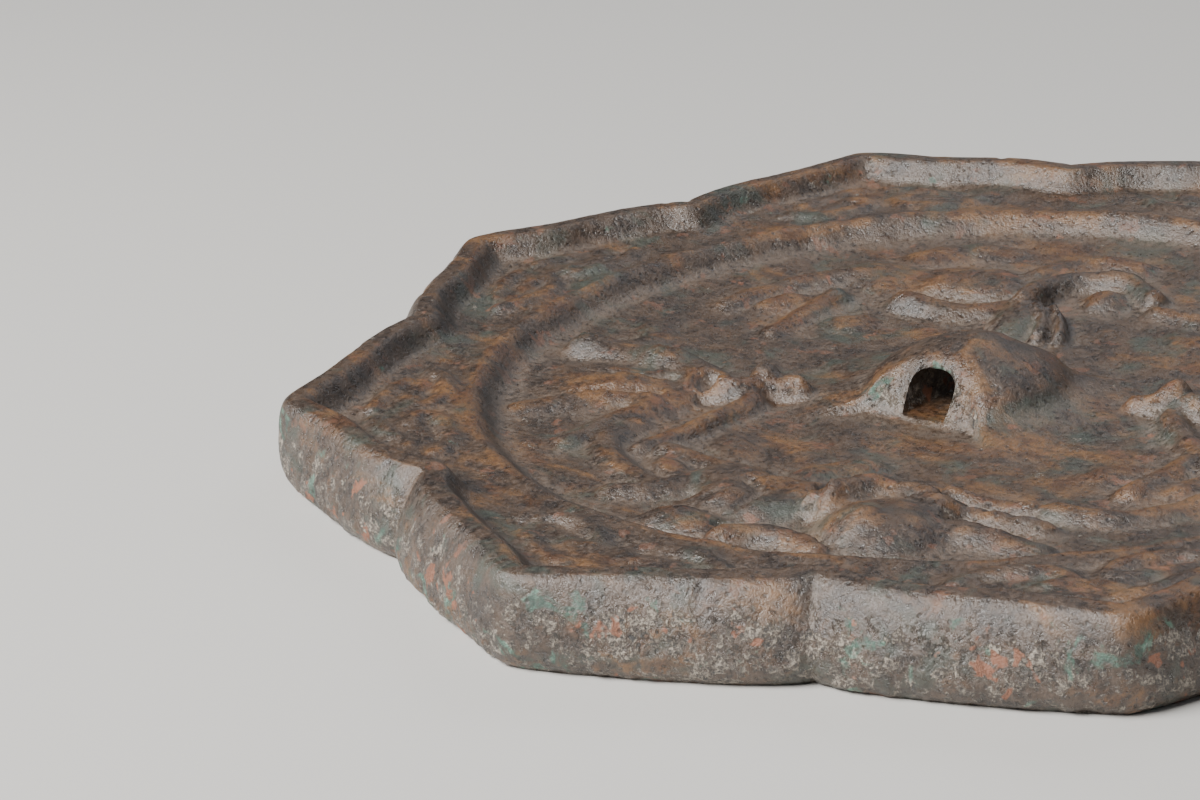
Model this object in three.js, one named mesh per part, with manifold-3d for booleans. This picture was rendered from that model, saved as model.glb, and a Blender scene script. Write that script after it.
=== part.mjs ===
// An old cast bronze mirror, lying with its polished face down and its ornamented back up.
// It is one casting: an eight-lobed plate with a raised rim, a step ring, a pierced knob,
// and worn birds and beasts in low relief. Millimetres, +Z up. The origin is the middle of
// the underside. Lobe tips lie on X and Y, and the knob's cord hole runs along Y.
import * as THREE from 'three';
import { mergeVertices } from 'three/addons/utils/BufferGeometryUtils.js';
import Module from 'manifold-3d';

const wasm = await Module();
wasm.setup();

// Driving sizes.
const TIP_RADIUS = 65;            // centre to the tip of a lobe, at the rim's top
const LOBES = 8;
const RIM_HEIGHT = 8.4;           // thickness of the casting at the rim
const RIM_WIDTH = 2.7;            // worn flat top of the rim
const RIM_DROP = 2.5;             // rim top down to the border zone
const RING_RADIUS = 46.9;         // crest of the step between border and field
const RING_HEIGHT = 5.7;          // height of that crest
const RING_STEP = 2.9;            // breadth of the slope from the crest down to the field
const FIELD_EDGE_HEIGHT = 3.5;    // field at the foot of the step
const FIELD_CENTRE_HEIGHT = 1.8;  // field round the knob
const KNOB_BASE_RADIUS = 17;
const KNOB_HEIGHT = 8.0;          // top of the knob, just under the rim's level
const HOLE_HALF_WIDTH = 2.9;      // cord hole through the knob
const HOLE_SIDE_HEIGHT = 4.7;     // where the hole's sides turn into its arch
const HOLE_TOP_HEIGHT = 6.45;
const MOUTH_REACH = 3.4;          // where the cut face at a mouth starts, at the knob's top
const MOUTH_SLOPE = 1.5;          // how steeply that face falls
const MOUTH_SPREAD = 0.9;         // how fast the mouth widens outwards
const RELIEF_SUNK = 0.4;          // the relief's widest part lies this deep, and its root as deep again

// The lobed outline, as fractions of the tip radius.
const NOTCH_TOP = 0.872;          // between two lobes, at the rim's top
const NOTCH_FOOT = 0.906;         // and at the foot of the wall
const SIDE_BULGE = 0.0185;        // how far a lobe's side swells past its chord
const TIP_OGEE = 0.012;           // how far it hollows again beside the tip, at the top
const TIP_WEAR = 0.07;            // share of half a lobe over which its tip is worn round

const SEGMENTS_PER_LOBE = 12;
const SEGMENTS = LOBES * SEGMENTS_PER_LOBE;
const HALF_LOBE = Math.PI / LOBES;

// 0 in a notch and 1 at a tip, worn round at the tip.
function lobePhase(angle) {
  const fromTip = Math.acos(THREE.MathUtils.clamp(Math.cos(LOBES * angle), -1, 1)) / Math.PI;
  const worn = Math.hypot(fromTip, TIP_WEAR) - TIP_WEAR;
  return 1 - worn / (Math.hypot(1, TIP_WEAR) - TIP_WEAR);
}

// The outline's radius. Level is 0 at the foot of the wall and 1 at the rim's top.
function outline(angle, level) {
  const phase = lobePhase(angle);
  const notch = THREE.MathUtils.lerp(NOTCH_FOOT, NOTCH_TOP, level);
  const turn = phase * HALF_LOBE;
  const chord = notch * Math.sin(HALF_LOBE) / (notch * Math.sin(turn) + Math.sin(HALF_LOBE - turn));
  const swell = SIDE_BULGE * Math.sin(Math.PI * phase ** 0.7);
  const hollow = TIP_OGEE * level * Math.sin(Math.PI * phase ** 2.4);
  return TIP_RADIUS * (chord + swell - hollow);
}

// A ring that follows the outline, moved out (+) or in (-) by an offset.
function lobedRing(level, offset, height) {
  return { height, radius: (angle) => outline(angle, level) + offset };
}

// A ring that keeps an even distance in from the rim's outline, so that it rounds the notches.
function insetRing(inset, height) {
  const radius = (angle) => {
    let nearest = Infinity;
    for (let k = -24; k <= 24; k++) {
      const turn = k * 0.005;
      const edge = outline(angle + turn, 1);
      const aside = edge * Math.sin(turn);
      if (Math.abs(aside) < inset) {
        nearest = Math.min(nearest, edge * Math.cos(turn) - Math.sqrt(inset ** 2 - aside ** 2));
      }
    }
    return nearest;
  };
  return { height, radius };
}

function roundRing(radius, height) {
  return { height, radius: () => radius };
}

// A closed solid skinned over rings, from the middle of the underside to the middle of the top.
function skinRings(rings, bottomHeight, topHeight) {
  const positions = [0, 0, bottomHeight];
  for (const ring of rings) {
    for (let i = 0; i < SEGMENTS; i++) {
      const angle = i / SEGMENTS * 2 * Math.PI;
      const radius = ring.radius(angle);
      positions.push(radius * Math.cos(angle), radius * Math.sin(angle), ring.height);
    }
  }
  const top = positions.length / 3;
  positions.push(0, 0, topHeight);
  const index = [];
  for (let i = 0; i < SEGMENTS; i++) {
    const next = (i + 1) % SEGMENTS;
    index.push(0, 1 + next, 1 + i);
    for (let ring = 0; ring < rings.length - 1; ring++) {
      const low = 1 + ring * SEGMENTS;
      const high = low + SEGMENTS;
      index.push(low + i, low + next, high + next);
      index.push(low + i, high + next, high + i);
    }
    const last = 1 + (rings.length - 1) * SEGMENTS;
    index.push(last + i, last + next, top);
  }
  const geometry = new THREE.BufferGeometry();
  geometry.setAttribute('position', new THREE.Float32BufferAttribute(positions, 3));
  geometry.setIndex(index);
  return geometry;
}

function toSolid(geometry) {
  geometry.deleteAttribute('normal');
  geometry.deleteAttribute('uv');
  const merged = mergeVertices(geometry, 1e-4);
  const vertProperties = new Float32Array(merged.attributes.position.array);
  const triVerts = new Uint32Array(merged.index.array);
  return new wasm.Manifold(new wasm.Mesh({ numProp: 3, vertProperties, triVerts }));
}

function toGeometry(solid) {
  const { vertProperties, triVerts } = solid.getMesh();
  const geometry = new THREE.BufferGeometry();
  geometry.setAttribute('position', new THREE.BufferAttribute(vertProperties, 3));
  geometry.setIndex(new THREE.BufferAttribute(triVerts, 1));
  return geometry;
}

// The plate: flat underside, swelling wall, worn rim, border, step ring and dished field.
function makePlate() {
  const border = RIM_HEIGHT - RIM_DROP;
  const rings = [
    lobedRing(0, -1.0, 0),
    lobedRing(0, -0.1, 0.9),
    lobedRing(0.05, 0.3, 2.4),
    lobedRing(0.3, 0.25, 4.4),
    lobedRing(0.6, 0, 6.1),
    lobedRing(0.9, -0.4, 7.7),
    lobedRing(1, -1.3, RIM_HEIGHT),
    insetRing(RIM_WIDTH, RIM_HEIGHT - 0.1),
    insetRing(RIM_WIDTH + 1.2, RIM_HEIGHT - 1.3),
    insetRing(RIM_WIDTH + 2.4, border),
    { height: border - 0.35, radius: (angle) => (outline(angle, 1) + RING_RADIUS) / 2 },
    roundRing(RING_RADIUS, RING_HEIGHT),
    roundRing(RING_RADIUS - 0.4 * RING_STEP, RING_HEIGHT - 0.7),
    roundRing(RING_RADIUS - RING_STEP, FIELD_EDGE_HEIGHT),
    roundRing(33, fieldHeight(33)),
    roundRing(KNOB_BASE_RADIUS, FIELD_CENTRE_HEIGHT),
  ];
  return toSolid(skinRings(rings, 0, FIELD_CENTRE_HEIGHT));
}

// The field's own height under a figure, from the knob out to the step.
function fieldHeight(radius) {
  const reach = RING_RADIUS - RING_STEP - KNOB_BASE_RADIUS;
  const t = THREE.MathUtils.clamp((radius - KNOB_BASE_RADIUS) / reach, 0, 1);
  return THREE.MathUtils.lerp(FIELD_CENTRE_HEIGHT, FIELD_EDGE_HEIGHT, t ** 1.3);
}

// The knob: a worn dome on a spreading foot, with a sloping cut face at each mouth of the hole.
function makeKnob() {
  const sunk = FIELD_CENTRE_HEIGHT - 0.9;
  const profile = [
    [0, sunk], [KNOB_BASE_RADIUS, sunk], [KNOB_BASE_RADIUS, FIELD_CENTRE_HEIGHT + 0.05],
    [14.6, 2.1], [12.5, 2.5], [11, 2.85], [10, 3.2], [9.4, 3.8], [8.7, 4.6], [7.8, 5.3],
    [6.7, 5.95], [5.5, 6.5], [4.2, 7.1], [2.8, 7.6], [1.4, 7.95], [0, KNOB_HEIGHT],
  ].map(([radius, height]) => new THREE.Vector2(radius, height));
  const dome = new THREE.LatheGeometry(profile, 36);
  dome.rotateX(Math.PI / 2);
  let knob = toSolid(dome);
  knob = knob.subtract(cordHole());
  for (const side of [1, -1]) {
    knob = knob.subtract(mouthCut(side));
  }
  return knob;
}

// The arched hole, right through along Y.
function cordHole() {
  const shape = new THREE.Shape();
  const floor = FIELD_CENTRE_HEIGHT - 1.2;
  const steps = 12;
  shape.moveTo(-HOLE_HALF_WIDTH, floor);
  shape.lineTo(HOLE_HALF_WIDTH, floor);
  for (let i = 0; i <= steps; i++) {
    const turn = i / steps * Math.PI;
    const x = HOLE_HALF_WIDTH * Math.sign(Math.cos(turn)) * Math.abs(Math.cos(turn)) ** 0.8;
    const rise = (HOLE_TOP_HEIGHT - HOLE_SIDE_HEIGHT) * Math.sin(turn) ** 0.8;
    shape.lineTo(x, HOLE_SIDE_HEIGHT + rise);
  }
  const length = 3 * KNOB_BASE_RADIUS;
  const hole = new THREE.ExtrudeGeometry(shape, { depth: length, bevelEnabled: false });
  hole.translate(0, 0, -length / 2);
  hole.rotateX(Math.PI / 2);
  return toSolid(hole);
}

// What is cut away in front of one mouth: a wedge in plan, widening outwards, past a steep face.
function mouthCut(side) {
  const low = FIELD_CENTRE_HEIGHT - 1.2;
  const high = KNOB_HEIGHT + 0.4;
  const far = 2 * KNOB_BASE_RADIUS;
  const slope = new THREE.Shape();
  slope.moveTo(MOUTH_REACH, high);
  slope.lineTo(MOUTH_REACH + (high - low) / MOUTH_SLOPE, low);
  slope.lineTo(far, low);
  slope.lineTo(far, high);
  slope.closePath();
  const width = 4 * KNOB_BASE_RADIUS;
  const face = new THREE.ExtrudeGeometry(slope, { depth: width, bevelEnabled: false });
  face.translate(0, 0, -width / 2);
  face.rotateX(Math.PI / 2);
  const wedge = new THREE.Shape();
  wedge.moveTo(1, -1);
  wedge.lineTo(far, -MOUTH_SPREAD * far);
  wedge.lineTo(far, MOUTH_SPREAD * far);
  wedge.lineTo(1, 1);
  wedge.closePath();
  const plan = new THREE.ExtrudeGeometry(wedge, { depth: 2 * high, bevelEnabled: false });
  face.rotateZ(side * Math.PI / 2);
  plan.rotateZ(side * Math.PI / 2);
  return toSolid(face).intersect(toSolid(plan));
}

// Relief is placed in a figure's own frame: along runs clockwise round the mirror, or
// anticlockwise where the figure is set that way, and out runs away from its centre. Heights
// are above the surface that the figure stands on.
// A lump is a rounded mound.
function lump(along, out, halfLength, halfWidth, height, turnDegrees = 0) {
  const columns = halfLength > 4 ? 12 : 8;
  const ball = new THREE.SphereGeometry(1, columns, 6);
  ball.rotateX(Math.PI / 2);
  ball.scale(halfLength, halfWidth, height);
  ball.rotateZ(THREE.MathUtils.degToRad(turnDegrees));
  ball.translate(along, out, 0);
  return ball;
}

// A limb, neck or feather is a ball drawn out along a bent line, tapering to its end.
function limb(points, startWidth, endWidth, height) {
  const curve = new THREE.CatmullRomCurve3(points.map(([along, out]) => new THREE.Vector3(along, out, 0)));
  const ball = new THREE.SphereGeometry(1, 8, 7);
  const place = ball.attributes.position;
  for (let i = 0; i < place.count; i++) {
    const t = THREE.MathUtils.clamp((place.getY(i) + 1) / 2, 0, 1);
    const middle = curve.getPointAt(t);
    const heading = curve.getTangentAt(t);
    const width = THREE.MathUtils.lerp(startWidth, endWidth, t);
    const across = width * place.getX(i);
    const up = height * (1 - 0.3 * t) * place.getZ(i);
    place.setXYZ(i, middle.x + heading.y * across, middle.y - heading.x * across, up);
  }
  return ball;
}

// A bird flying in, its head and beak towards the knob, one wing raised and one spread.
function birdFigure() {
  const body = lump(4, 31, 9.2, 7.2, 1.8, 92);
  const head = lump(1, 19.6, 2.3, 2, 2.9);
  const neck = limb([[3.4, 25], [3.8, 22], [2, 19], [1.6, 16.2]], 2, 1.3, 2.8);
  const raisedWing = limb([[2.6, 24.8], [-0.4, 27.4], [-2, 31], [-3.2, 35], [-4.6, 39.4]], 3.2, 2, 2.9);
  const spreadWing = limb([[9.6, 28.6], [14, 31], [19.4, 33.4]], 2, 1.2, 1.7);
  const wingEdge = limb([[5, 19.8], [7, 20.4], [10.4, 21.9], [14, 23.4], [19, 26.4]], 1.6, 1.1, 1.8);
  const tail = limb([[6, 33], [9.6, 36.4], [12, 40.4]], 2.6, 1.4, 1.5);
  return [body, head, neck, raisedWing, spreadWing, wingEdge, tail];
}

// A beast running, its head away from along: great haunch, long trunk, head held out, legs flung wide.
function runningBeast() {
  const haunch = lump(0.4, 35.2, 7, 6.2, 3.4, 80);
  const rump = limb([[-5.2, 32.4], [-2.4, 29.6], [1.4, 29.2], [4.4, 32]], 2.7, 2, 3.7);
  const trunk = lump(-11.4, 30, 8.4, 6.4, 2.3, -8);
  const shoulder = lump(-16.2, 26, 4.7, 3.7, 2.3);
  const head = lump(-16.6, 37.2, 4.8, 2.9, 2.1, 10);
  const foreleg = limb([[-12.4, 40], [-9.4, 38.9], [-6.4, 39.7], [-4.2, 41.4]], 1.9, 1.3, 2.3);
  const hindLeg = limb([[3.4, 26.6], [6.5, 27.6], [11.4, 28.6]], 1.7, 1, 2.1);
  const nearLeg = limb([[5.2, 31], [8.4, 32], [13.4, 33.2]], 1.6, 1, 1.9);
  const farLeg = limb([[5.6, 35.6], [9, 36.4], [13.6, 38.2]], 2.4, 1.3, 1.9);
  const mane = limb([[-19.6, 27.4], [-22.4, 30], [-25.4, 30.4]], 2, 1.2, 1.5);
  return [haunch, rump, trunk, shoulder, head, foreleg, hindLeg, nearLeg, farLeg, mane];
}

// A beast looking back, its tail curled over in a ring behind it.
function curledBeast() {
  const back = limb([[11.4, 23.8], [8, 22.4], [4.4, 22], [0.8, 23.6]], 2.2, 1.9, 2.2);
  const body = lump(6.2, 29.6, 7.2, 4.7, 2.1, 6);
  const chest = lump(-0.6, 20.6, 2.8, 5.2, 2.2);
  const rump = lump(14.6, 30.4, 5.4, 3.9, 1.5, 20);
  const foreleg = limb([[-2.6, 21.6], [-3.6, 18.6], [-3.7, 15.6]], 1.1, 0.8, 2.4);
  const secondLeg = limb([[-4.2, 21.4], [-5.4, 18.4], [-5.8, 15.4]], 1, 0.7, 2.1);
  const tail = limb([[-0.8, 23.4], [-2.6, 28.4], [-6, 30.4], [-10.6, 29.8], [-13.4, 26]], 1.9, 1.3, 2.8);
  const plume = limb([[-1, 32], [-5.4, 36.4], [-10.4, 35.6]], 2.4, 1.2, 1.6);
  const paw = limb([[12.6, 36], [8.4, 38.8], [3.4, 38.4]], 2.2, 1.3, 1.4);
  return [back, body, chest, rump, foreleg, secondLeg, tail, plume, paw];
}

// A cloud scroll, lying between two figures.
function cloudScroll() {
  return [
    limb([[-11, 30], [-8, 34.4], [-1.4, 36], [6.6, 35.2]], 1.8, 1.1, 1.5),
    limb([[-3.4, 30.4], [0.6, 28.8], [6.4, 26.4]], 1.8, 1.1, 1.6),
  ];
}

// A sprig worn to a bud and two leaves, lying in the border inside one lobe.
function sprig() {
  return [
    lump(0, 53.6, 2.8, 2.2, 0.95),
    lump(-5, 51.2, 4, 1.8, 0.95, 24),
    lump(5, 51.2, 4, 1.8, 0.95, -24),
  ];
}

// Sets a figure's pieces on the plate, draped over the surface under them and a little sunk.
function setFigure(pieces, azimuth, anticlockwise, surface) {
  return pieces.map((piece) => {
    const place = piece.attributes.position;
    for (let i = 0; i < place.count; i++) {
      const radius = Math.hypot(place.getX(i), place.getY(i));
      const height = Math.max(place.getZ(i), -RELIEF_SUNK);
      place.setZ(i, height + surface(radius) - RELIEF_SUNK);
    }
    if (anticlockwise) {
      mirrorAlong(piece);
    }
    piece.rotateZ(azimuth - Math.PI / 2);
    return toSolid(piece);
  });
}

// Mirrors a piece left to right and turns its faces outward again.
function mirrorAlong(piece) {
  piece.scale(-1, 1, 1);
  const index = piece.index;
  for (let i = 0; i < index.count; i += 3) {
    const first = index.getX(i);
    index.setX(i, index.getX(i + 1));
    index.setX(i + 1, first);
  }
}

function makeRelief() {
  const quarter = Math.PI / 2;
  const border = () => RING_HEIGHT - 0.2;
  const solids = [
    ...setFigure(birdFigure(), HALF_LOBE, false, fieldHeight),
    ...setFigure(curledBeast(), HALF_LOBE + quarter, true, fieldHeight),
    ...setFigure(birdFigure(), HALF_LOBE + 2 * quarter, true, fieldHeight),
    ...setFigure(runningBeast(), HALF_LOBE + 3 * quarter, true, fieldHeight),
  ];
  for (let turn = 0; turn < 4; turn++) {
    solids.push(...setFigure(cloudScroll(), 3 * HALF_LOBE + turn * quarter, true, fieldHeight));
  }
  for (let lobe = 0; lobe < LOBES; lobe++) {
    solids.push(...setFigure(sprig(), lobe * 2 * HALF_LOBE, false, border));
  }
  return solids;
}

let mirror = makePlate().add(makeKnob());
for (const solid of makeRelief()) {
  mirror = mirror.add(solid);
}

const bronze = new THREE.MeshStandardMaterial({ color: 0x5a4334, roughness: 0.55, metalness: 0.7 });
const mesh = new THREE.Mesh(toGeometry(mirror), bronze);
mesh.name = 'mirror';

const group = new THREE.Group();
group.add(mesh);
export default group;
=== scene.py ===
import math
import random
import bpy
import bmesh
from mathutils import Matrix, Vector, noise


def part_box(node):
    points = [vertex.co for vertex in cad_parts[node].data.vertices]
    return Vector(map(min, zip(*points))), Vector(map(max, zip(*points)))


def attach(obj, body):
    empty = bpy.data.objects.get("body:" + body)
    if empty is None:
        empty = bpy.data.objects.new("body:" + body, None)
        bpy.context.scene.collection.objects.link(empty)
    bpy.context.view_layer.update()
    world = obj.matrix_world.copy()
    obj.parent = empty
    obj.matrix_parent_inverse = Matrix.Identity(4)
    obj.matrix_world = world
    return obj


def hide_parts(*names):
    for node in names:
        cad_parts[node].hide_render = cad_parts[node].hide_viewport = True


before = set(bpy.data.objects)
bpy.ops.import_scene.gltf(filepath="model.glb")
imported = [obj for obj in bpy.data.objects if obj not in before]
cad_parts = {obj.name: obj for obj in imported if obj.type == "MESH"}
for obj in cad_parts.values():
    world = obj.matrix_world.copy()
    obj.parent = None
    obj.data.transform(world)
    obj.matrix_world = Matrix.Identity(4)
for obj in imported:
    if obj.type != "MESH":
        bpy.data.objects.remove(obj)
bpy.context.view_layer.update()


# The casting: the lobed plate
# The whole mirror is one bronze casting. Its plan has eight lobes with worn tips, a raised
# rim round the edge, a border, a step ring and a shallow dished field. All in millimetres.
MM = 0.001
LOWEST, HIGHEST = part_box("mirror")
WALL_SWELL = 0.3                                # how far the wall swells past the tips
TIP_RADIUS = HIGHEST[0] / MM - WALL_SWELL
RIM_HEIGHT = HIGHEST[2] / MM - 0.12
LOBES = 8
HALF_LOBE = math.pi / LOBES
NOTCH_TOP, NOTCH_FOOT = 0.872, 0.906            # shares of the tip radius between two lobes
SIDE_BULGE, TIP_OGEE = 0.0185, 0.012
TIP_WEAR = 0.09                                 # share of half a lobe over which its tip is worn round
RIM_EDGE, RIM_WIDTH, RIM_SLOPE = 1.3, 2.7, 2.4  # worn edge, flat top and inner wall, from the outline
BORDER_HEIGHT, BORDER_DIP = 5.9, 0.35
RING_RADIUS, RING_HEIGHT, RING_STEP = 46.9, 5.7, 2.9
FIELD_EDGE_HEIGHT, FIELD_HEIGHT = 3.5, 1.8
KNOB_BASE_RADIUS = 17.0


def smooth(t):
    t = min(max(t, 0.0), 1.0)
    return t * t * (3 - 2 * t)


def mix(a, b, t):
    return a + (b - a) * t


def soft_max(a, b, softness):
    near = max(softness - abs(a - b), 0.0) / softness
    return max(a, b) + near * near * softness / 4


def soft_min(a, b, softness):
    return -soft_max(-a, -b, softness)


def outline(angle, level):
    """The plan's radius: level 0 is the foot of the wall, 1 is the rim's top."""
    from_tip = math.acos(min(max(math.cos(LOBES * angle), -1.0), 1.0)) / math.pi
    worn = math.hypot(from_tip, TIP_WEAR) - TIP_WEAR
    phase = 1 - worn / (math.hypot(1, TIP_WEAR) - TIP_WEAR)
    notch = mix(NOTCH_FOOT, NOTCH_TOP, level)
    turn = phase * HALF_LOBE
    chord = notch * math.sin(HALF_LOBE) / (notch * math.sin(turn) + math.sin(HALF_LOBE - turn))
    swell = SIDE_BULGE * math.sin(math.pi * phase ** 0.7)
    hollow = TIP_OGEE * level * math.sin(math.pi * phase ** 2.4)
    return TIP_RADIUS * (chord + swell - hollow)


def outline_point(angle):
    radius = outline(angle, 1)
    return radius * math.cos(angle), radius * math.sin(angle)


EDGE_LINE = [outline_point(HALF_LOBE * (k / 24 - 0.25)) for k in range(37)]


def edge_distance(x, y):
    """How far a place on the back lies in from the lobed outline."""
    radius = math.hypot(x, y)
    if radius < RING_RADIUS - 3:
        return 20.0
    turn = abs((math.atan2(y, x) + HALF_LOBE) % (2 * HALF_LOBE) - HALF_LOBE)
    px, py = radius * math.cos(turn), radius * math.sin(turn)
    nearest = 1e9
    for (ax, ay), (bx, by) in zip(EDGE_LINE, EDGE_LINE[1:]):
        dx, dy = bx - ax, by - ay
        t = min(max(((px - ax) * dx + (py - ay) * dy) / (dx * dx + dy * dy), 0.0), 1.0)
        nearest = min(nearest, (px - ax - t * dx) ** 2 + (py - ay - t * dy) ** 2)
    return math.sqrt(nearest)


def field_height(radius):
    t = (radius - KNOB_BASE_RADIUS) / (RING_RADIUS - RING_STEP - KNOB_BASE_RADIUS)
    return mix(FIELD_HEIGHT, FIELD_EDGE_HEIGHT, min(max(t, 0.0), 1.0) ** 1.3)


def plate_height(x, y, edge):
    """The plain plate's top. Edge is the distance in from the lobed outline."""
    radius = math.hypot(x, y)
    wander = noise.noise(Vector((x, y, 7.0)) * 0.16)
    edge = edge + 0.45 * wander
    radius = radius + 0.35 * noise.noise(Vector((x, y, 19.0)) * 0.2)
    width = max(radius - RING_RADIUS + edge - RIM_WIDTH - RIM_SLOPE, 1.0)
    across = min(max((radius - RING_RADIUS) / width, 0.0), 1.0)
    border = mix(RING_HEIGHT, BORDER_HEIGHT, across) - BORDER_DIP * math.sin(math.pi * across)
    step = smooth((radius - (RING_RADIUS - RING_STEP)) / RING_STEP)
    inside = mix(field_height(radius), border, step)
    rim = smooth(1 - (edge - RIM_WIDTH) / RIM_SLOPE)
    crown = 0.1 * smooth(1 - edge / RIM_WIDTH)
    return mix(inside, RIM_HEIGHT - crown, rim)


# The knob
# A worn dome on a spreading foot in the middle of the back. A sloping face is cut on each
# side where the cord's arched hole comes out. It is cast with the plate.
KNOB_PROFILE = [(0, 8.0), (1.4, 7.95), (2.8, 7.6), (4.2, 7.1), (5.5, 6.5), (6.7, 5.95), (7.8, 5.3),
                (8.7, 4.6), (9.4, 3.8), (10.0, 3.2), (11.0, 2.85), (12.5, 2.5), (14.6, 2.1), (17, 1.8)]
MOUTH_REACH, MOUTH_SLOPE = 3.4, 1.5             # where the cut face starts at the top, and its steepness
MOUTH_SPREAD = 0.9                              # how fast the mouth widens outwards
MOUTH_SIDE_SLOPE, MOUTH_INSET = 8, 0.7          # how steeply its sides rise, and how far in they start


def knob_height(x, y):
    radius = math.hypot(x, y)
    if radius >= KNOB_BASE_RADIUS:
        return FIELD_HEIGHT
    for (r0, z0), (r1, z1) in zip(KNOB_PROFILE, KNOB_PROFILE[1:]):
        if radius <= r1:
            dome = mix(z0, z1, (radius - r0) / (r1 - r0))
            break
    face = KNOB_PROFILE[0][1] + 0.4 - (abs(y) - MOUTH_REACH) * MOUTH_SLOPE
    face += MOUTH_SIDE_SLOPE * max(abs(x) - MOUTH_SPREAD * abs(y) + MOUTH_INSET, 0.0)
    return max(soft_min(dome, face, 0.4), FIELD_HEIGHT)


# The birds and beasts
# Low relief on the field, cast with the plate and rubbed soft. Each figure has its own
# frame: along runs round the mirror and out runs away from its middle.


def curve_point(t, around, parts):
    """A place on a smooth curve, t of the way from the second of four points to the third."""
    weights = (-t + 2 * t ** 2 - t ** 3, 2 - 5 * t ** 2 + 3 * t ** 3,
               t + 4 * t ** 2 - 3 * t ** 3, t ** 3 - t ** 2)
    return [sum(w * p[k] for w, p in zip(weights, around)) / 2 for k in parts]


def bent_path(points, steps=5):
    """A smooth line through the points, as straight bits with the share of its length."""
    ends = [points[0]] + list(points) + [points[-1]]
    line = []
    for a, b, c, d in zip(ends, ends[1:], ends[2:], ends[3:]):
        for i in range(steps):
            t = i / steps
            line.append(tuple(curve_point(t, (a, b, c, d), (0, 1))))
    line.append(tuple(points[-1]))
    reach = [0.0]
    for p, q in zip(line, line[1:]):
        reach.append(reach[-1] + math.dist(p, q))
    return line, reach


def mound(along, out, length, width, height, turn=0.0):
    """A rounded lump of relief, and the circle outside which it does nothing."""
    c, s = math.cos(math.radians(turn)), math.sin(math.radians(turn))

    def rise(u, v):
        a = ((u - along) * c + (v - out) * s) / length
        b = ((v - out) * c - (u - along) * s) / width
        return height * (1 - (a * a + b * b) ** 1.25)
    return along, out, 1.35 * max(length, width), rise


def limb(points, start, end, height, pitch=0.0, ribs=0.0):
    """A ridge along a bent path, tapering, with ribs across it where a pitch is given."""
    line, reach = bent_path(points)
    spans = list(zip(line, line[1:], reach, reach[1:]))
    middle = [sum(p[k] for p in line) / len(line) for k in (0, 1)]
    circle = max(math.dist(middle, p) for p in line) + 1.6 * max(start, end)

    def rise(u, v):
        best, place = 1e9, 0.0
        for (au, av), (bu, bv), r0, r1 in spans:
            du, dv = bu - au, bv - av
            t = ((u - au) * du + (v - av) * dv) / max(du * du + dv * dv, 1e-9)
            t = min(max(t, 0.0), 1.0)
            gap = (u - au - t * du) ** 2 + (v - av - t * dv) ** 2
            if gap < best:
                best, place = gap, mix(r0, r1, t)
        share = place / reach[-1]
        top = height * (1 - 0.3 * share)
        if pitch:
            top -= ribs * (0.5 + 0.5 * math.cos(2 * math.pi * place / pitch))
        return top * (1 - (best / mix(start, end, share) ** 2) ** 1.15)
    return middle[0], middle[1], circle, rise


BIRD = [
    mound(4.0, 31.0, 9.6, 7.8, 1.5, 92),
    limb([(2.6, 24.8), (-0.4, 27.4), (-2.0, 31), (-3.2, 35), (-4.6, 39.4)], 3.4, 2.6, 2.5),
    limb([(3.4, 25.0), (3.8, 22), (2.0, 19), (1.6, 16.2)], 2.2, 1.5, 2.5),
    mound(1.0, 19.6, 2.4, 2.1, 2.7),
    limb([(5.0, 19.8), (7, 20.4), (10.4, 21.9), (14, 23.4), (19, 26.4)], 1.6, 1.3, 1.4),
    limb([(9.6, 28.6), (14, 31), (19.4, 33.4)], 2.0, 1.5, 1.2),
    limb([(6.0, 33), (9.6, 36.4), (12, 40.4)], 2.6, 1.7, 1.1),
    limb([(-5.6, 36), (-9.2, 33.6), (-12.4, 35)], 1.9, 1.6, 0.8),
]
BIRD_CUTS = [
    mound(3.3, 24.7, 1.9, 1.4, 2.0, 20),
    limb([(5.4, 23.9), (9.4, 24.8), (13.4, 26.2), (17.4, 28), (23.4, 30.2)], 1.5, 0.9, 1.3, 1.9, 0.7),
    limb([(2.6, 28.4), (2.8, 32.4), (1.6, 37.8)], 0.7, 0.5, 0.55),
    limb([(6.6, 28.6), (7.6, 32.6), (8.4, 38)], 0.8, 0.5, 0.55),
    limb([(10.2, 31.2), (12.6, 34.8), (14.6, 38)], 0.8, 0.5, 0.5),
]
RUNNING_BEAST = [
    mound(0.4, 35.2, 7.2, 6.4, 3.0, 80),
    limb([(-5.2, 32.4), (-2.4, 29.6), (1.4, 29.2), (4.4, 32)], 2.8, 2.4, 3.3),
    mound(-11.4, 30, 8.6, 6.6, 1.9, -8),
    mound(-16.2, 26, 4.8, 3.8, 1.9),
    mound(-16.6, 37.2, 5.0, 3.0, 1.7, 10),
    limb([(-12.4, 40.0), (-9.4, 38.9), (-6.4, 39.7), (-4.2, 41.4)], 1.9, 1.6, 1.9),
    limb([(-9.4, 22.4), (-7.0, 20.6), (-5.0, 19)], 2.2, 1.6, 1.1),
    limb([(3.4, 26.6), (6.5, 27.6), (11.4, 28.6)], 1.7, 1.2, 1.7),
    limb([(5.2, 31), (8.4, 32), (13.4, 33.2)], 1.6, 1.2, 1.5),
    limb([(5.6, 35.6), (9, 36.4), (13.6, 38.2)], 2.4, 1.6, 1.5),
    limb([(-19.6, 27.4), (-22.4, 30), (-25.4, 30.4)], 2.0, 1.4, 1.1),
]
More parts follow.
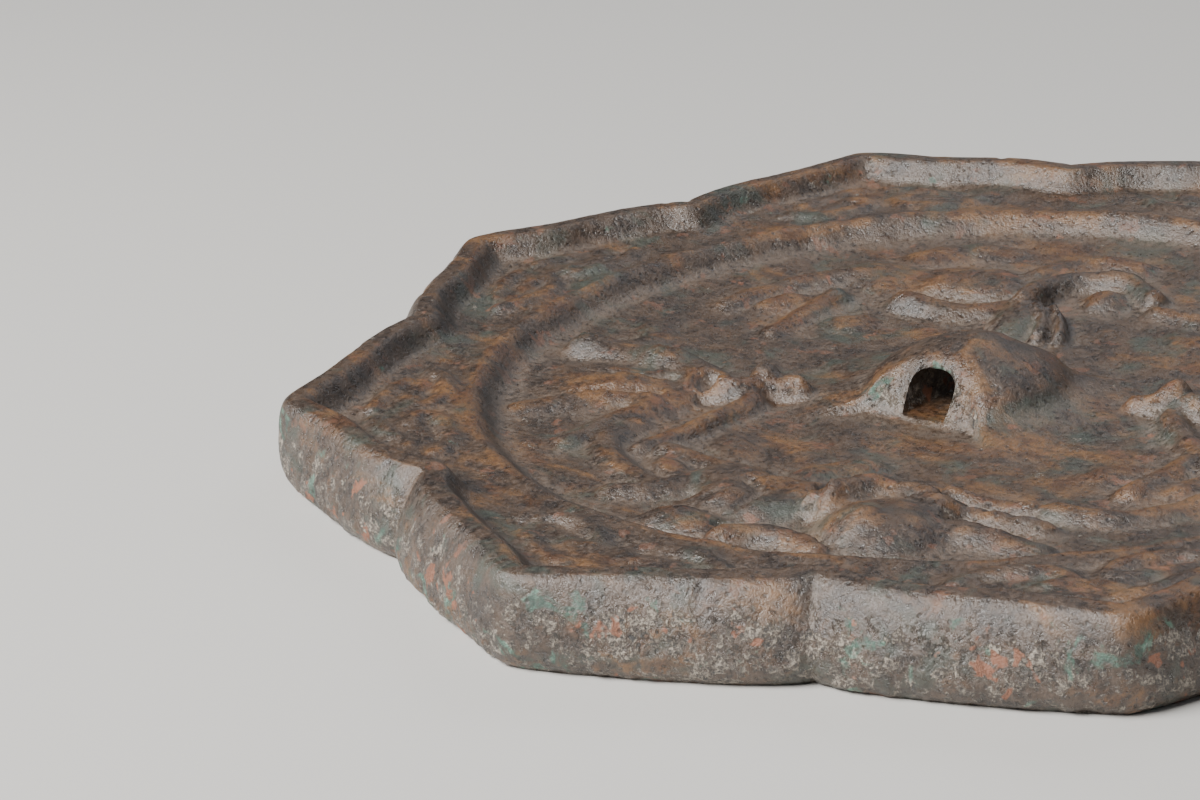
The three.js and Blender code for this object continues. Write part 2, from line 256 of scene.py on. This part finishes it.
RUNNING_CUTS = [
    mound(2.3, 26.4, 1.6, 1.5, 2.4),
    mound(-21.2, 34.3, 2.1, 1.2, 1.4, 60),
    mound(-19.3, 30.6, 2.4, 1.2, 1.2, 10),
    limb([(-13.6, 37.4), (-9.8, 37.1), (-5.6, 38.3), (-3.4, 40.6)], 0.7, 0.7, 1.3),
    limb([(-6.6, 27.6), (-5.9, 32.4), (-6.8, 36)], 1.0, 0.8, 1.0),
    limb([(4.6, 29.3), (7.6, 30), (11.6, 31)], 0.8, 0.6, 0.8),
    limb([(5.4, 33.6), (8.6, 34.3), (12.6, 35.8)], 0.8, 0.6, 0.8),
    limb([(-13.8, 28), (-11.6, 31), (-12.8, 34)], 0.9, 0.6, 0.7),
]
CURLED_BEAST = [
    limb([(11.4, 23.8), (8, 22.4), (4.4, 22.0), (0.8, 23.6)], 2.2, 2.2, 1.8),
    mound(6.2, 29.6, 7.4, 4.8, 1.7, 6),
    mound(-0.6, 20.6, 2.9, 5.4, 1.8),
    mound(14.6, 30.4, 5.6, 4.0, 1.1, 20),
    mound(-8.6, 26, 2.6, 2.4, 1.5),
    limb([(-2.6, 21.6), (-3.6, 18.6), (-3.7, 15.6)], 1.1, 0.9, 2.1),
    limb([(-4.2, 21.4), (-5.4, 18.4), (-5.8, 15.4)], 0.9, 0.7, 1.9),
    limb([(-0.8, 23.4), (-2.6, 28.4), (-6, 30.4), (-10.6, 29.8), (-13.4, 26)], 1.9, 1.6, 2.4),
    limb([(-1, 32), (-5.4, 36.4), (-10.4, 35.6)], 2.4, 1.5, 1.2),
    limb([(12.6, 36), (8.4, 38.8), (3.4, 38.4)], 2.2, 1.6, 1.0),
]
CURLED_CUTS = [
    limb([(2.4, 20.2), (6.4, 20), (10.4, 21)], 0.8, 0.6, 0.7),
    limb([(1.4, 25.4), (5.4, 25.2), (10, 26)], 1.0, 0.8, 1.0),
    mound(-4.9, 25.2, 2.2, 2.0, 1.4),
]
CLOUD = [
    limb([(-11, 30), (-8, 34.4), (-1.4, 36), (6.6, 35.2)], 1.8, 1.4, 1.1),
    limb([(-3.4, 30.4), (0.6, 28.8), (6.4, 26.4)], 1.7, 1.3, 1.2),
    mound(1.4, 32.4, 3.8, 1.9, 0.9, 10),
    mound(-1.4, 24.6, 3.0, 1.9, 0.7, 20),
]
CLOUD_CUTS = [
    limb([(-4.6, 32.8), (-1, 34.2), (4.4, 33.8)], 0.6, 0.5, 0.6),
]
SPRIG = [
    mound(0, 53.6, 3.0, 2.4, 0.35),
    mound(-5.0, 51.2, 4.4, 2.0, 0.35, 24),
    mound(5.0, 51.2, 4.4, 2.0, 0.35, -24),
    limb([(-10.6, 50.2), (-7, 49.0), (-3.2, 49.6), (-1.4, 51.6), (-3.4, 52.6)], 1.0, 0.8, 0.6),
    limb([(10.6, 50.2), (7, 49.0), (3.2, 49.6), (1.4, 51.6), (3.4, 52.6)], 1.0, 0.8, 0.6),
    limb([(-1.4, 56), (-4.4, 55), (-8.4, 52.8)], 0.9, 0.7, 0.5),
    limb([(1.4, 56), (4.4, 55), (8.4, 52.8)], 0.9, 0.7, 0.5),
]
SPRIG_CUTS = [
    limb([(-8.2, 50.2), (-5.4, 50.7), (-2.8, 51.2)], 0.6, 0.5, 0.4),
    limb([(8.2, 50.2), (5.4, 50.7), (2.8, 51.2)], 0.6, 0.5, 0.4),
]
QUARTER = math.pi / 2
RELIEF_FROM, RELIEF_TO = 13, 60                 # all figures lie between these radii
HAIR_PITCH = 1.7                                # spacing of the worn strokes that mark fur and feathers
FIGURES = [
    (HALF_LOBE, -1, BIRD, BIRD_CUTS, 0.1),
    (HALF_LOBE + QUARTER, 1, CURLED_BEAST, CURLED_CUTS, 0.08),
    (HALF_LOBE + 2 * QUARTER, 1, BIRD, BIRD_CUTS, 0.1),
    (HALF_LOBE + 3 * QUARTER, 1, RUNNING_BEAST, RUNNING_CUTS, 0.1),
]
FIGURES += [(3 * HALF_LOBE + QUARTER * turn, 1, CLOUD, CLOUD_CUTS, 0.05) for turn in range(4)]
FIGURES += [(2 * HALF_LOBE * lobe, 1, SPRIG, SPRIG_CUTS, 0.0) for lobe in range(LOBES)]


def figure_height(x, y, azimuth, sense, forms, cuts, grain):
    c, s = math.cos(azimuth), math.sin(azimuth)
    u, v = sense * (y * c - x * s), x * c + y * s
    if v < 12 or abs(u) > v:
        return 0.0
    height = 0.0
    for along, out, reach, rise in forms:
        if abs(u - along) < reach and abs(v - out) < reach:
            height = soft_max(height, rise(u, v), 1.0)
    if height < 0.02:
        return 0.0
    for along, out, reach, rise in cuts:
        if abs(u - along) < reach and abs(v - out) < reach:
            height -= max(rise(u, v), 0.0) * smooth(height / 0.8)
    hair = math.sin(2 * math.pi * (v + 0.45 * u) / HAIR_PITCH + 9 * noise.noise(Vector((x, y, 2.0)) * 0.22))
    kept = smooth(0.5 + 2.2 * noise.noise(Vector((x, y, 31.0)) * 0.15))
    return height * mix(0.85, 1.1, kept) + grain * hair * kept * smooth(height / 1.4)


def top_height(x, y, edge):
    radius = math.hypot(x, y)
    z = plate_height(x, y, edge)
    if radius < KNOB_BASE_RADIUS + 1:
        z = max(z, knob_height(x, y))
    relief = 0.0
    if RELIEF_FROM < radius < RELIEF_TO:
        relief = max(figure_height(x, y, *figure) for figure in FIGURES)
    place = Vector((x, y, 0.0))
    uneven = 0.28 * noise.noise(place * 0.13) + 0.16 * noise.noise(place * 0.35)
    uneven = uneven + 0.08 * noise.noise(place * 0.8)
    rough = 0.05 * noise.noise(place * 1.7)
    nearest = noise.voronoi(place * 0.45 + Vector((0, 0, 5)))[0][0]
    pit = 0.22 * smooth(1 - nearest / 0.3) * smooth(0.5 + 2 * noise.noise(place * 0.12 + Vector((9, 0, 0))))
    rim = smooth(1 - (edge - RIM_WIDTH) / 1.5)
    return min(z + relief + (uneven + rough) * mix(1, 0.35, rim) - pit, HIGHEST[2] / MM - 0.02)


# The casting: its mesh
# One closed skin: the modelled back, the swelling wall, and the flat polished face below.
RINGS = 130                                     # rings of the back's grid, from middle to edge
FIELD_SHARE, FIELD_REACH = 0.7, 49.0            # this share of them lies inside this radius
WALL_ROWS = 24
WALL_PROFILE = [(1.0, -1.3, 8.28), (0.9, -0.55, 7.7), (0.6, -0.1, 6.1), (0.3, 0.15, 4.4),
                (0.05, 0.25, 2.4), (0.0, -0.1, 0.9), (0.0, -1.0, 0.0)]
chips = random.Random(11)
CHIPS = [(chips.uniform(-math.pi, math.pi), chips.uniform(0.01, 0.03), chips.uniform(0.1, 0.3))
         for _ in range(26)]


def disc_place(gx, gy):
    """Turns a square grid into rings: the ring's share of the way out, and the angle."""
    share = max(abs(gx), abs(gy))
    if share < 1e-9:
        return 0.0, 0.0
    if abs(gx) >= abs(gy):
        return share, math.pi / 4 * gy / gx + (math.pi if gx < 0 else 0)
    return share, math.pi / 2 - math.pi / 4 * gx / gy + (math.pi if gy < 0 else 0)


def wall_point(t):
    """Level, offset and height on the wall, 0 at the top edge and 1 underneath."""
    spans = len(WALL_PROFILE) - 1
    i = min(int(t * spans), spans - 1)
    t = t * spans - i
    around = [WALL_PROFILE[min(max(i + k, 0), spans)] for k in (-1, 0, 1, 2)]
    return curve_point(t, around, (0, 1, 2))


def chip_depth(angle):
    depth = 0.0
    for where, width, deep in CHIPS:
        away = abs((angle - where + math.pi) % (2 * math.pi) - math.pi)
        depth = max(depth, deep * smooth(1 - away / width))
    return depth


shell = bmesh.new()
bmesh.ops.create_grid(shell, x_segments=2 * RINGS, y_segments=2 * RINGS, size=1.0)
for vert in shell.verts:
    share, angle = disc_place(vert.co.x, vert.co.y)
    edge_radius = outline(angle, 1) - RIM_EDGE
    if share <= FIELD_SHARE:
        radius = FIELD_REACH * share / FIELD_SHARE
    else:
        t = (share - FIELD_SHARE) / (1 - FIELD_SHARE)
        radius = mix(FIELD_REACH, edge_radius, t)
    x, y = radius * math.cos(angle), radius * math.sin(angle)
    z = top_height(x, y, edge_distance(x, y))
    vert.co = Vector((x, y, z)) * MM


def column(vert):
    """The number of the wall's upright line of corners that a corner lies on."""
    turn = math.atan2(vert.co.y, vert.co.x) / (2 * math.pi)
    return round(turn * 8 * RINGS) % (8 * RINGS)


border_edges = [edge for edge in shell.edges if edge.is_boundary]
brink = {column(vert): vert.co.z / MM - WALL_PROFILE[0][2] for edge in border_edges for vert in edge.verts}
for row in range(1, WALL_ROWS + 1):
    down = row / WALL_ROWS
    level, offset, height = wall_point(down)
    new = bmesh.ops.extrude_edge_only(shell, edges=border_edges)["geom"]
    border_edges = [item for item in new if isinstance(item, bmesh.types.BMEdge)]
    for vert in (item for item in new if isinstance(item, bmesh.types.BMVert)):
        angle = math.atan2(vert.co.y, vert.co.x)
        foot = row == WALL_ROWS
        around = Vector((math.cos(angle), math.sin(angle), 0)) * TIP_RADIUS
        place = around + Vector((0, 0, height))
        crust = smooth((6.6 - height) / 2.2) * smooth(0.75 + 2 * noise.noise(place * 0.12))
        lumps = 0.14 * noise.noise(place * 0.25) + mix(0.05, 0.26, crust) * noise.noise(place * 0.7)
        lumps += mix(0.03, 0.18, crust) * noise.noise(place * 1.6)
        worn = chip_depth(angle) * smooth((height - 5.5) / 2.5)
        skin = mix(0.0, lumps - 0.15, smooth(down * 5)) if not foot else -0.1
        radius = outline(angle, level) + offset + skin - worn * smooth(down * 8)
        z = height + brink[column(vert)] * (1 - down) ** 3 - 0.6 * worn * smooth(down * 8)
        vert.co = Vector((radius * math.cos(angle), radius * math.sin(angle), z)) * MM
border_edges = [edge for edge in shell.edges if edge.is_boundary]
underside = bmesh.ops.contextual_create(shell, geom=border_edges)["faces"]
bmesh.ops.recalc_face_normals(shell, faces=shell.faces)
for face in shell.faces:
    face.smooth = face not in underside
    face.material_index = int(face in underside)

# Rubbed edges and sheltered hollows: how far each place stands out of its smoothed surroundings.
rubbed = shell.verts.layers.float.new("rubbed")
sheltered = shell.verts.layers.float.new("sheltered")
for layer, passes in ((rubbed, 8), (sheltered, 36)):
    before = [vert.co.copy() for vert in shell.verts]
    facing = [vert.normal.copy() for vert in shell.verts]
    for _ in range(passes):
        bmesh.ops.smooth_vert(shell, verts=shell.verts, factor=0.5,
                              use_axis_x=True, use_axis_y=True, use_axis_z=True)
    for vert, place, normal in zip(shell.verts, before, facing):
        vert[layer] = (place - vert.co).dot(normal) / MM
        vert.co = place
mesh = bpy.data.meshes.new("mirror_casting")
shell.to_mesh(mesh)
shell.free()
casting = bpy.data.objects.new("mirror_casting", mesh)
bpy.context.scene.collection.objects.link(casting)


# The cord hole
# An arched hole right through the knob, with lips worn wider by the cord.
HOLE_HALF_WIDTH, HOLE_FLOOR, HOLE_SIDES, HOLE_TOP = 2.3, 2.15, 4.4, 6.1
HOLE_REACH = 9.5
hole = bmesh.new()
arch = bmesh.ops.create_circle(hole, cap_ends=True, radius=1.0, segments=32)["verts"]
for vert in arch:
    across, up = vert.co.x, vert.co.y
    x = HOLE_HALF_WIDTH * math.copysign(abs(across) ** 0.8, across)
    if up > 0:
        z = HOLE_SIDES + (HOLE_TOP - HOLE_SIDES) * up ** 0.8
    else:
        z = mix(HOLE_SIDES, HOLE_FLOOR, smooth(-1.6 * up))
    vert.co = Vector((x, -HOLE_REACH, z)) * MM
steps = [-8.0, -7.0, -6.0, -5.0, -4.0, -2.0, 0.0, 2.0, 4.0, 5.0, 6.0, 7.0, 8.0, HOLE_REACH]
end = hole.edges[:]
for y in steps:
    new = bmesh.ops.extrude_edge_only(hole, edges=end)["geom"]
    for vert in (item for item in new if isinstance(item, bmesh.types.BMVert)):
        vert.co.y = y * MM
    end = [edge for edge in hole.edges if edge.is_boundary]
bmesh.ops.contextual_create(hole, geom=end)
for vert in hole.verts:
    flare = 1 + 0.02 * max(abs(vert.co.y / MM) - 3.0, 0.0) ** 1.3
    vert.co.x *= flare
    vert.co.z = HOLE_FLOOR * MM + (vert.co.z - HOLE_FLOOR * MM) * (1 + (flare - 1) * 0.8)
bmesh.ops.recalc_face_normals(hole, faces=hole.faces)
cutter_mesh = bpy.data.meshes.new("cord_hole")
hole.to_mesh(cutter_mesh)
hole.free()
cutter = bpy.data.objects.new("cord_hole", cutter_mesh)
bpy.context.scene.collection.objects.link(cutter)
cut = casting.modifiers.new("cord_hole", "BOOLEAN")
cut.operation = "DIFFERENCE"
cut.solver = "EXACT"
cut.object = cutter
depsgraph = bpy.context.evaluated_depsgraph_get()
casting.data = bpy.data.meshes.new_from_object(casting.evaluated_get(depsgraph))
casting.modifiers.clear()
bpy.data.objects.remove(cutter)


# The casting: its patina
# Tin bronze under a thin brown skin, rubbed orange-brown on high places. Earth, pale crust,
# green malachite and red cuprite lie on it, most thickly low down on the wall.


def add(tree, kind, inputs=None, **settings):
    """Adds a node. Its inputs are plain values or the outputs of other nodes."""
    node = tree.nodes.new(kind)
    for name, value in settings.items():
        setattr(node, name, value)
    for name, value in (inputs or {}).items():
        if isinstance(value, bpy.types.NodeSocket):
            tree.links.new(value, node.inputs[name])
        else:
            node.inputs[name].default_value = value
    return node


def grain(tree, place, scale, detail=3.0, rough=0.55, bend=0.0):
    """Cloudy noise over the surface, from 0 to 1. Scale is in bits to the millimetre."""
    return add(tree, "ShaderNodeTexNoise", {"Vector": place, "Scale": scale, "Detail": detail,
                                            "Roughness": rough, "Distortion": bend}).outputs[0]


def between(tree, value, low, high, first=0.0, last=1.0):
    """Goes smoothly from first to last while the value goes from low to high."""
    return add(tree, "ShaderNodeMapRange", {"Value": value, "From Min": low, "From Max": high,
                                            "To Min": first, "To Max": last},
               interpolation_type="SMOOTHSTEP").outputs[0]


def sum_of(tree, kind, a, b, c=0.0):
    return add(tree, "ShaderNodeMath", {0: a, 1: b, 2: c}, operation=kind).outputs[0]


def coat(tree, mask, under, over):
    """Lays one colour over another where the mask says."""
    return add(tree, "ShaderNodeMix", {0: mask, 6: under, 7: over}, data_type="RGBA").outputs[2]


def stain(red, green, blue):
    return (red, green, blue, 1.0)


crust_tree = bpy.data.node_groups.new("corrosion_crust", "ShaderNodeTree")
for name, kind in (("Place", "NodeSocketVector"), ("Ground", "NodeSocketColor"),
                   ("Crusted", "NodeSocketFloat"), ("Greened", "NodeSocketFloat")):
    crust_tree.interface.new_socket(name, in_out="INPUT", socket_type=kind)
for name, kind in (("Colour", "NodeSocketColor"), ("Rough", "NodeSocketFloat"),
                   ("Height", "NodeSocketFloat")):
    crust_tree.interface.new_socket(name, in_out="OUTPUT", socket_type=kind)
entry = add(crust_tree, "NodeGroupInput")
place, crusted, greened = entry.outputs["Place"], entry.outputs["Crusted"], entry.outputs["Greened"]
lumps = grain(crust_tree, place, 0.75, 6, 0.7, 0.15)
flecks = grain(crust_tree, place, 3.1, 4, 0.7)
shift = sum_of(crust_tree, "MULTIPLY_ADD", crusted, -0.24, 0.7)
deposit = between(crust_tree, sum_of(crust_tree, "SUBTRACT", lumps, shift), -0.02, 0.05)
bright = between(crust_tree, flecks, 0.42, 0.6)
cream = coat(crust_tree, bright, stain(0.09, 0.07, 0.054), stain(0.36, 0.31, 0.25))
colour = coat(crust_tree, deposit, entry.outputs["Ground"], cream)
dark_flecks = between(crust_tree, grain(crust_tree, place, 1.5, 5, 0.75, 0.1), 0.53, 0.64)
dark_flecks = sum_of(crust_tree, "MULTIPLY", dark_flecks, crusted)
colour = coat(crust_tree, dark_flecks, colour, stain(0.012, 0.01, 0.009))
green_shift = sum_of(crust_tree, "MULTIPLY_ADD", greened, -0.34, 0.78)
green_field = grain(crust_tree, place, 0.27, 4, 0.62, 0.5)
green = between(crust_tree, sum_of(crust_tree, "SUBTRACT", green_field, green_shift), -0.04, 0.05)
green = sum_of(crust_tree, "MULTIPLY", green, between(crust_tree, flecks, 0.3, 0.55, 0.35, 0.9))
malachite = coat(crust_tree, between(crust_tree, lumps, 0.4, 0.65),
                 stain(0.03, 0.075, 0.055), stain(0.16, 0.32, 0.24))
colour = coat(crust_tree, green, colour, malachite)
red_place = add(crust_tree, "ShaderNodeVectorMath", {0: place, 1: (31.0, 7.0, 3.0)},
                operation="ADD").outputs[0]
red = between(crust_tree, grain(crust_tree, red_place, 0.36, 3, 0.6, 0.2), 0.615, 0.66)
red = sum_of(crust_tree, "MULTIPLY", red, between(crust_tree, crusted, 0.1, 0.6, 0.25, 0.9))
colour = coat(crust_tree, red, colour, stain(0.27, 0.1, 0.048))
rough = sum_of(crust_tree, "MAXIMUM", deposit, sum_of(crust_tree, "MAXIMUM", green, red))
height = sum_of(crust_tree, "MULTIPLY_ADD", deposit, 0.5, sum_of(crust_tree, "MULTIPLY", lumps, crusted))
height = sum_of(crust_tree, "SUBTRACT", height, sum_of(crust_tree, "MULTIPLY", dark_flecks, 0.6))
add(crust_tree, "NodeGroupOutput", {"Colour": colour, "Rough": rough, "Height": height})


def crust(tree, place, ground, crusted, greened):
    group = add(tree, "ShaderNodeGroup", node_tree=crust_tree)
    for name, value in (("Place", place), ("Ground", ground), ("Crusted", crusted), ("Greened", greened)):
        if isinstance(value, bpy.types.NodeSocket):
            tree.links.new(value, group.inputs[name])
        else:
            group.inputs[name].default_value = value
    return group.outputs["Colour"], group.outputs["Rough"], group.outputs["Height"]


def place_in_mm(tree):
    at = add(tree, "ShaderNodeTexCoord").outputs["Object"]
    return add(tree, "ShaderNodeVectorMath", {0: at, "Scale": 1 / MM}, operation="SCALE").outputs[0]


patina = bpy.data.materials.new("old_bronze")
patina.use_nodes = True
tree = patina.node_tree
shader = tree.nodes["Principled BSDF"]
at = place_in_mm(tree)
split = add(tree, "ShaderNodeSeparateXYZ", {0: at})
rub = add(tree, "ShaderNodeAttribute", attribute_name="rubbed").outputs["Fac"]
shelter = add(tree, "ShaderNodeAttribute", attribute_name="sheltered").outputs["Fac"]
facing = add(tree, "ShaderNodeSeparateXYZ", {0: add(tree, "ShaderNodeTexCoord").outputs["Normal"]}).outputs[2]
broad = grain(tree, at, 0.09, 4, 0.6, 0.4)
middle = grain(tree, at, 0.35, 5, 0.65, 0.3)
fine = grain(tree, at, 1.9, 5, 0.7)
finest = grain(tree, at, 5.2, 3, 0.65)

ground = coat(tree, between(tree, middle, 0.38, 0.62), stain(0.024, 0.015, 0.01), stain(0.075, 0.046, 0.028))
ground = coat(tree, between(tree, fine, 0.45, 0.68, 0.0, 0.65), ground, stain(0.13, 0.09, 0.066))
grey_green = sum_of(tree, "MULTIPLY", between(tree, grain(tree, at, 0.16, 4, 0.6, 0.6), 0.52, 0.66),
                    between(tree, fine, 0.3, 0.6, 0.35, 0.8))
ground = coat(tree, grey_green, ground, stain(0.05, 0.066, 0.052))
streaks = add(tree, "ShaderNodeMapping", {"Vector": at, "Rotation": (0, 0, 0.7),
                                          "Scale": (0.5, 1.0, 1.0)}).outputs[0]
rust_field = sum_of(tree, "MULTIPLY_ADD", between(tree, rub, 0.0, 0.12), 0.09,
                    grain(tree, streaks, 0.15, 5, 0.65, 0.4))
rust = sum_of(tree, "MULTIPLY", between(tree, rust_field, 0.51, 0.66),
              between(tree, fine, 0.3, 0.62, 0.25, 0.8))
rust_colour = coat(tree, between(tree, middle, 0.4, 0.6), stain(0.12, 0.05, 0.018), stain(0.22, 0.105, 0.034))
ground = coat(tree, rust, ground, rust_colour)
dust = sum_of(tree, "MULTIPLY", between(tree, shelter, -0.02, -0.3), between(tree, fine, 0.35, 0.6, 0.1, 0.6))
ground = coat(tree, dust, ground, stain(0.17, 0.13, 0.1))

low = between(tree, split.outputs[2], 7.4, 5.0)
steep = between(tree, facing, 0.75, 0.4)
on_wall = sum_of(tree, "MULTIPLY", low, steep)
crusted = sum_of(tree, "MULTIPLY_ADD", on_wall, 0.72, between(tree, broad, 0.45, 0.7, 0.0, 0.35))
greened = sum_of(tree, "MULTIPLY_ADD", steep, 0.4, 0.1)
colour, crust_rough, crust_height = crust(tree, at, ground, crusted, greened)
cells = add(tree, "ShaderNodeTexVoronoi", {"Vector": at, "Scale": 1.1})
pits = between(tree, cells.outputs["Distance"], 0.1, 0.3)
colour = coat(tree, between(tree, pits, 0.0, 1.0, 0.55, 0.0), colour, stain(0.014, 0.011, 0.009))
tree.links.new(colour, shader.inputs["Base Color"])
gloss = between(tree, fine, 0.35, 0.65, 0.26, 0.48)
gloss = sum_of(tree, "MULTIPLY_ADD", crust_rough, 0.28, gloss)
tree.links.new(gloss, shader.inputs["Roughness"])
shader.inputs["Metallic"].default_value = 0.0
shader.inputs["IOR"].default_value = 1.85
relief = sum_of(tree, "MULTIPLY_ADD", finest, 0.35, sum_of(tree, "MULTIPLY", fine, 0.8))
relief = sum_of(tree, "MULTIPLY_ADD", pits, 0.25, relief)
relief = sum_of(tree, "MULTIPLY_ADD", crust_height, 0.9, relief)
bump = add(tree, "ShaderNodeBump", {"Height": relief, "Strength": 0.75, "Distance": 0.25 * MM})
tree.links.new(bump.outputs[0], shader.inputs["Normal"])

face_metal = bpy.data.materials.new("mirror_face")
face_metal.use_nodes = True
tree = face_metal.node_tree
shader = tree.nodes["Principled BSDF"]
at = place_in_mm(tree)
film = coat(tree, between(tree, grain(tree, at, 0.06, 4, 0.6, 0.8), 0.4, 0.62),
            stain(0.035, 0.04, 0.036), stain(0.15, 0.15, 0.13))
tarnished = between(tree, grain(tree, at, 0.1, 3), 0.45, 0.7, 0.1, 0.7)
colour, crust_rough, crust_height = crust(tree, at, film, tarnished, 0.4)
tree.links.new(colour, shader.inputs["Base Color"])
tree.links.new(sum_of(tree, "MULTIPLY_ADD", crust_rough, 0.4, 0.28), shader.inputs["Roughness"])
shader.inputs["Metallic"].default_value = 0.4
bump = add(tree, "ShaderNodeBump", {"Height": crust_height, "Strength": 0.5, "Distance": 0.15 * MM})
tree.links.new(bump.outputs[0], shader.inputs["Normal"])

casting.data.materials.clear()
casting.data.materials.append(patina)
casting.data.materials.append(face_metal)
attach(casting, "root")
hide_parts("mirror")


# The studio
# A plain pale floor under the mirror, one soft light from the front left, and a weaker one behind.
floor_mesh = bpy.data.meshes.new("floor")
sheet = bmesh.new()
bmesh.ops.create_grid(sheet, x_segments=1, y_segments=1, size=3.0)
sheet.to_mesh(floor_mesh)
sheet.free()
floor = bpy.data.objects.new("floor", floor_mesh)
bpy.context.scene.collection.objects.link(floor)
pale = bpy.data.materials.new("pale_floor")
pale.use_nodes = True
pale.node_tree.nodes["Principled BSDF"].inputs["Base Color"].default_value = (0.62, 0.61, 0.59, 1)
pale.node_tree.nodes["Principled BSDF"].inputs["Roughness"].default_value = 0.8
floor_mesh.materials.append(pale)

world = bpy.data.worlds.new("studio")
bpy.context.scene.world = world
world.use_nodes = True
world.node_tree.nodes["Background"].inputs["Color"].default_value = (0.75, 0.8, 0.88, 1)
world.node_tree.nodes["Background"].inputs["Strength"].default_value = 0.13

CAMERA_AZIMUTH = math.radians(-54.94)           # direction from the mirror's middle to the camera


def soft_light(name, turn, rise, distance, width, height, watts, colour):
    """An area light, turned from the camera's direction and raised, facing the mirror."""
    azimuth = CAMERA_AZIMUTH + math.radians(turn)
    lift = math.radians(rise)
    direction = Vector((math.cos(azimuth) * math.cos(lift), math.sin(azimuth) * math.cos(lift),
                        math.sin(lift)))
    light = bpy.data.lights.new(name, "AREA")
    light.shape = "RECTANGLE"
    light.size = width
    light.size_y = height
    light.energy = watts
    light.color = colour
    lamp = bpy.data.objects.new(name, light)
    lamp.location = direction * distance
    lamp.rotation_euler = (-direction).to_track_quat("-Z", "Y").to_euler()
    bpy.context.scene.collection.objects.link(lamp)


soft_light("key", -56, 44, 0.7, 0.45, 0.28, 10.5, (1.0, 0.98, 0.95))
soft_light("back", 150, 40, 0.9, 0.6, 0.3, 1.5, (0.9, 0.94, 1.0))

# The camera stands in front and to the right, low over the rim, and leans a little.
CAMERA_LENS = 89.267
CAMERA_ELEVATION = math.radians(20.4138)
CAMERA_TURN = math.radians(42.5971)
CAMERA_ROLL = math.radians(-4.6455)
CAMERA_DISTANCE = 4.1446 * TIP_RADIUS * MM
AIM = Vector((-0.28715 * TIP_RADIUS, -0.47806 * TIP_RADIUS, 8.36)) * MM
back = Vector((math.sin(CAMERA_TURN) * math.cos(CAMERA_ELEVATION),
               -math.cos(CAMERA_TURN) * math.cos(CAMERA_ELEVATION), math.sin(CAMERA_ELEVATION)))
right = Vector((0, 0, 1)).cross(back).normalized()
up = back.cross(right)
lean = Matrix.Rotation(CAMERA_ROLL, 3, back)
camera_data = bpy.data.cameras.new("camera")
camera_data.lens = CAMERA_LENS
camera_data.sensor_width = 36.0
camera_data.clip_start = 0.01
camera = bpy.data.objects.new("camera", camera_data)
axes = Matrix((lean @ right, lean @ up, back)).transposed()
camera.matrix_world = Matrix.Translation(AIM + back * CAMERA_DISTANCE) @ axes.to_4x4()
bpy.context.scene.collection.objects.link(camera)
bpy.context.scene.camera = camera
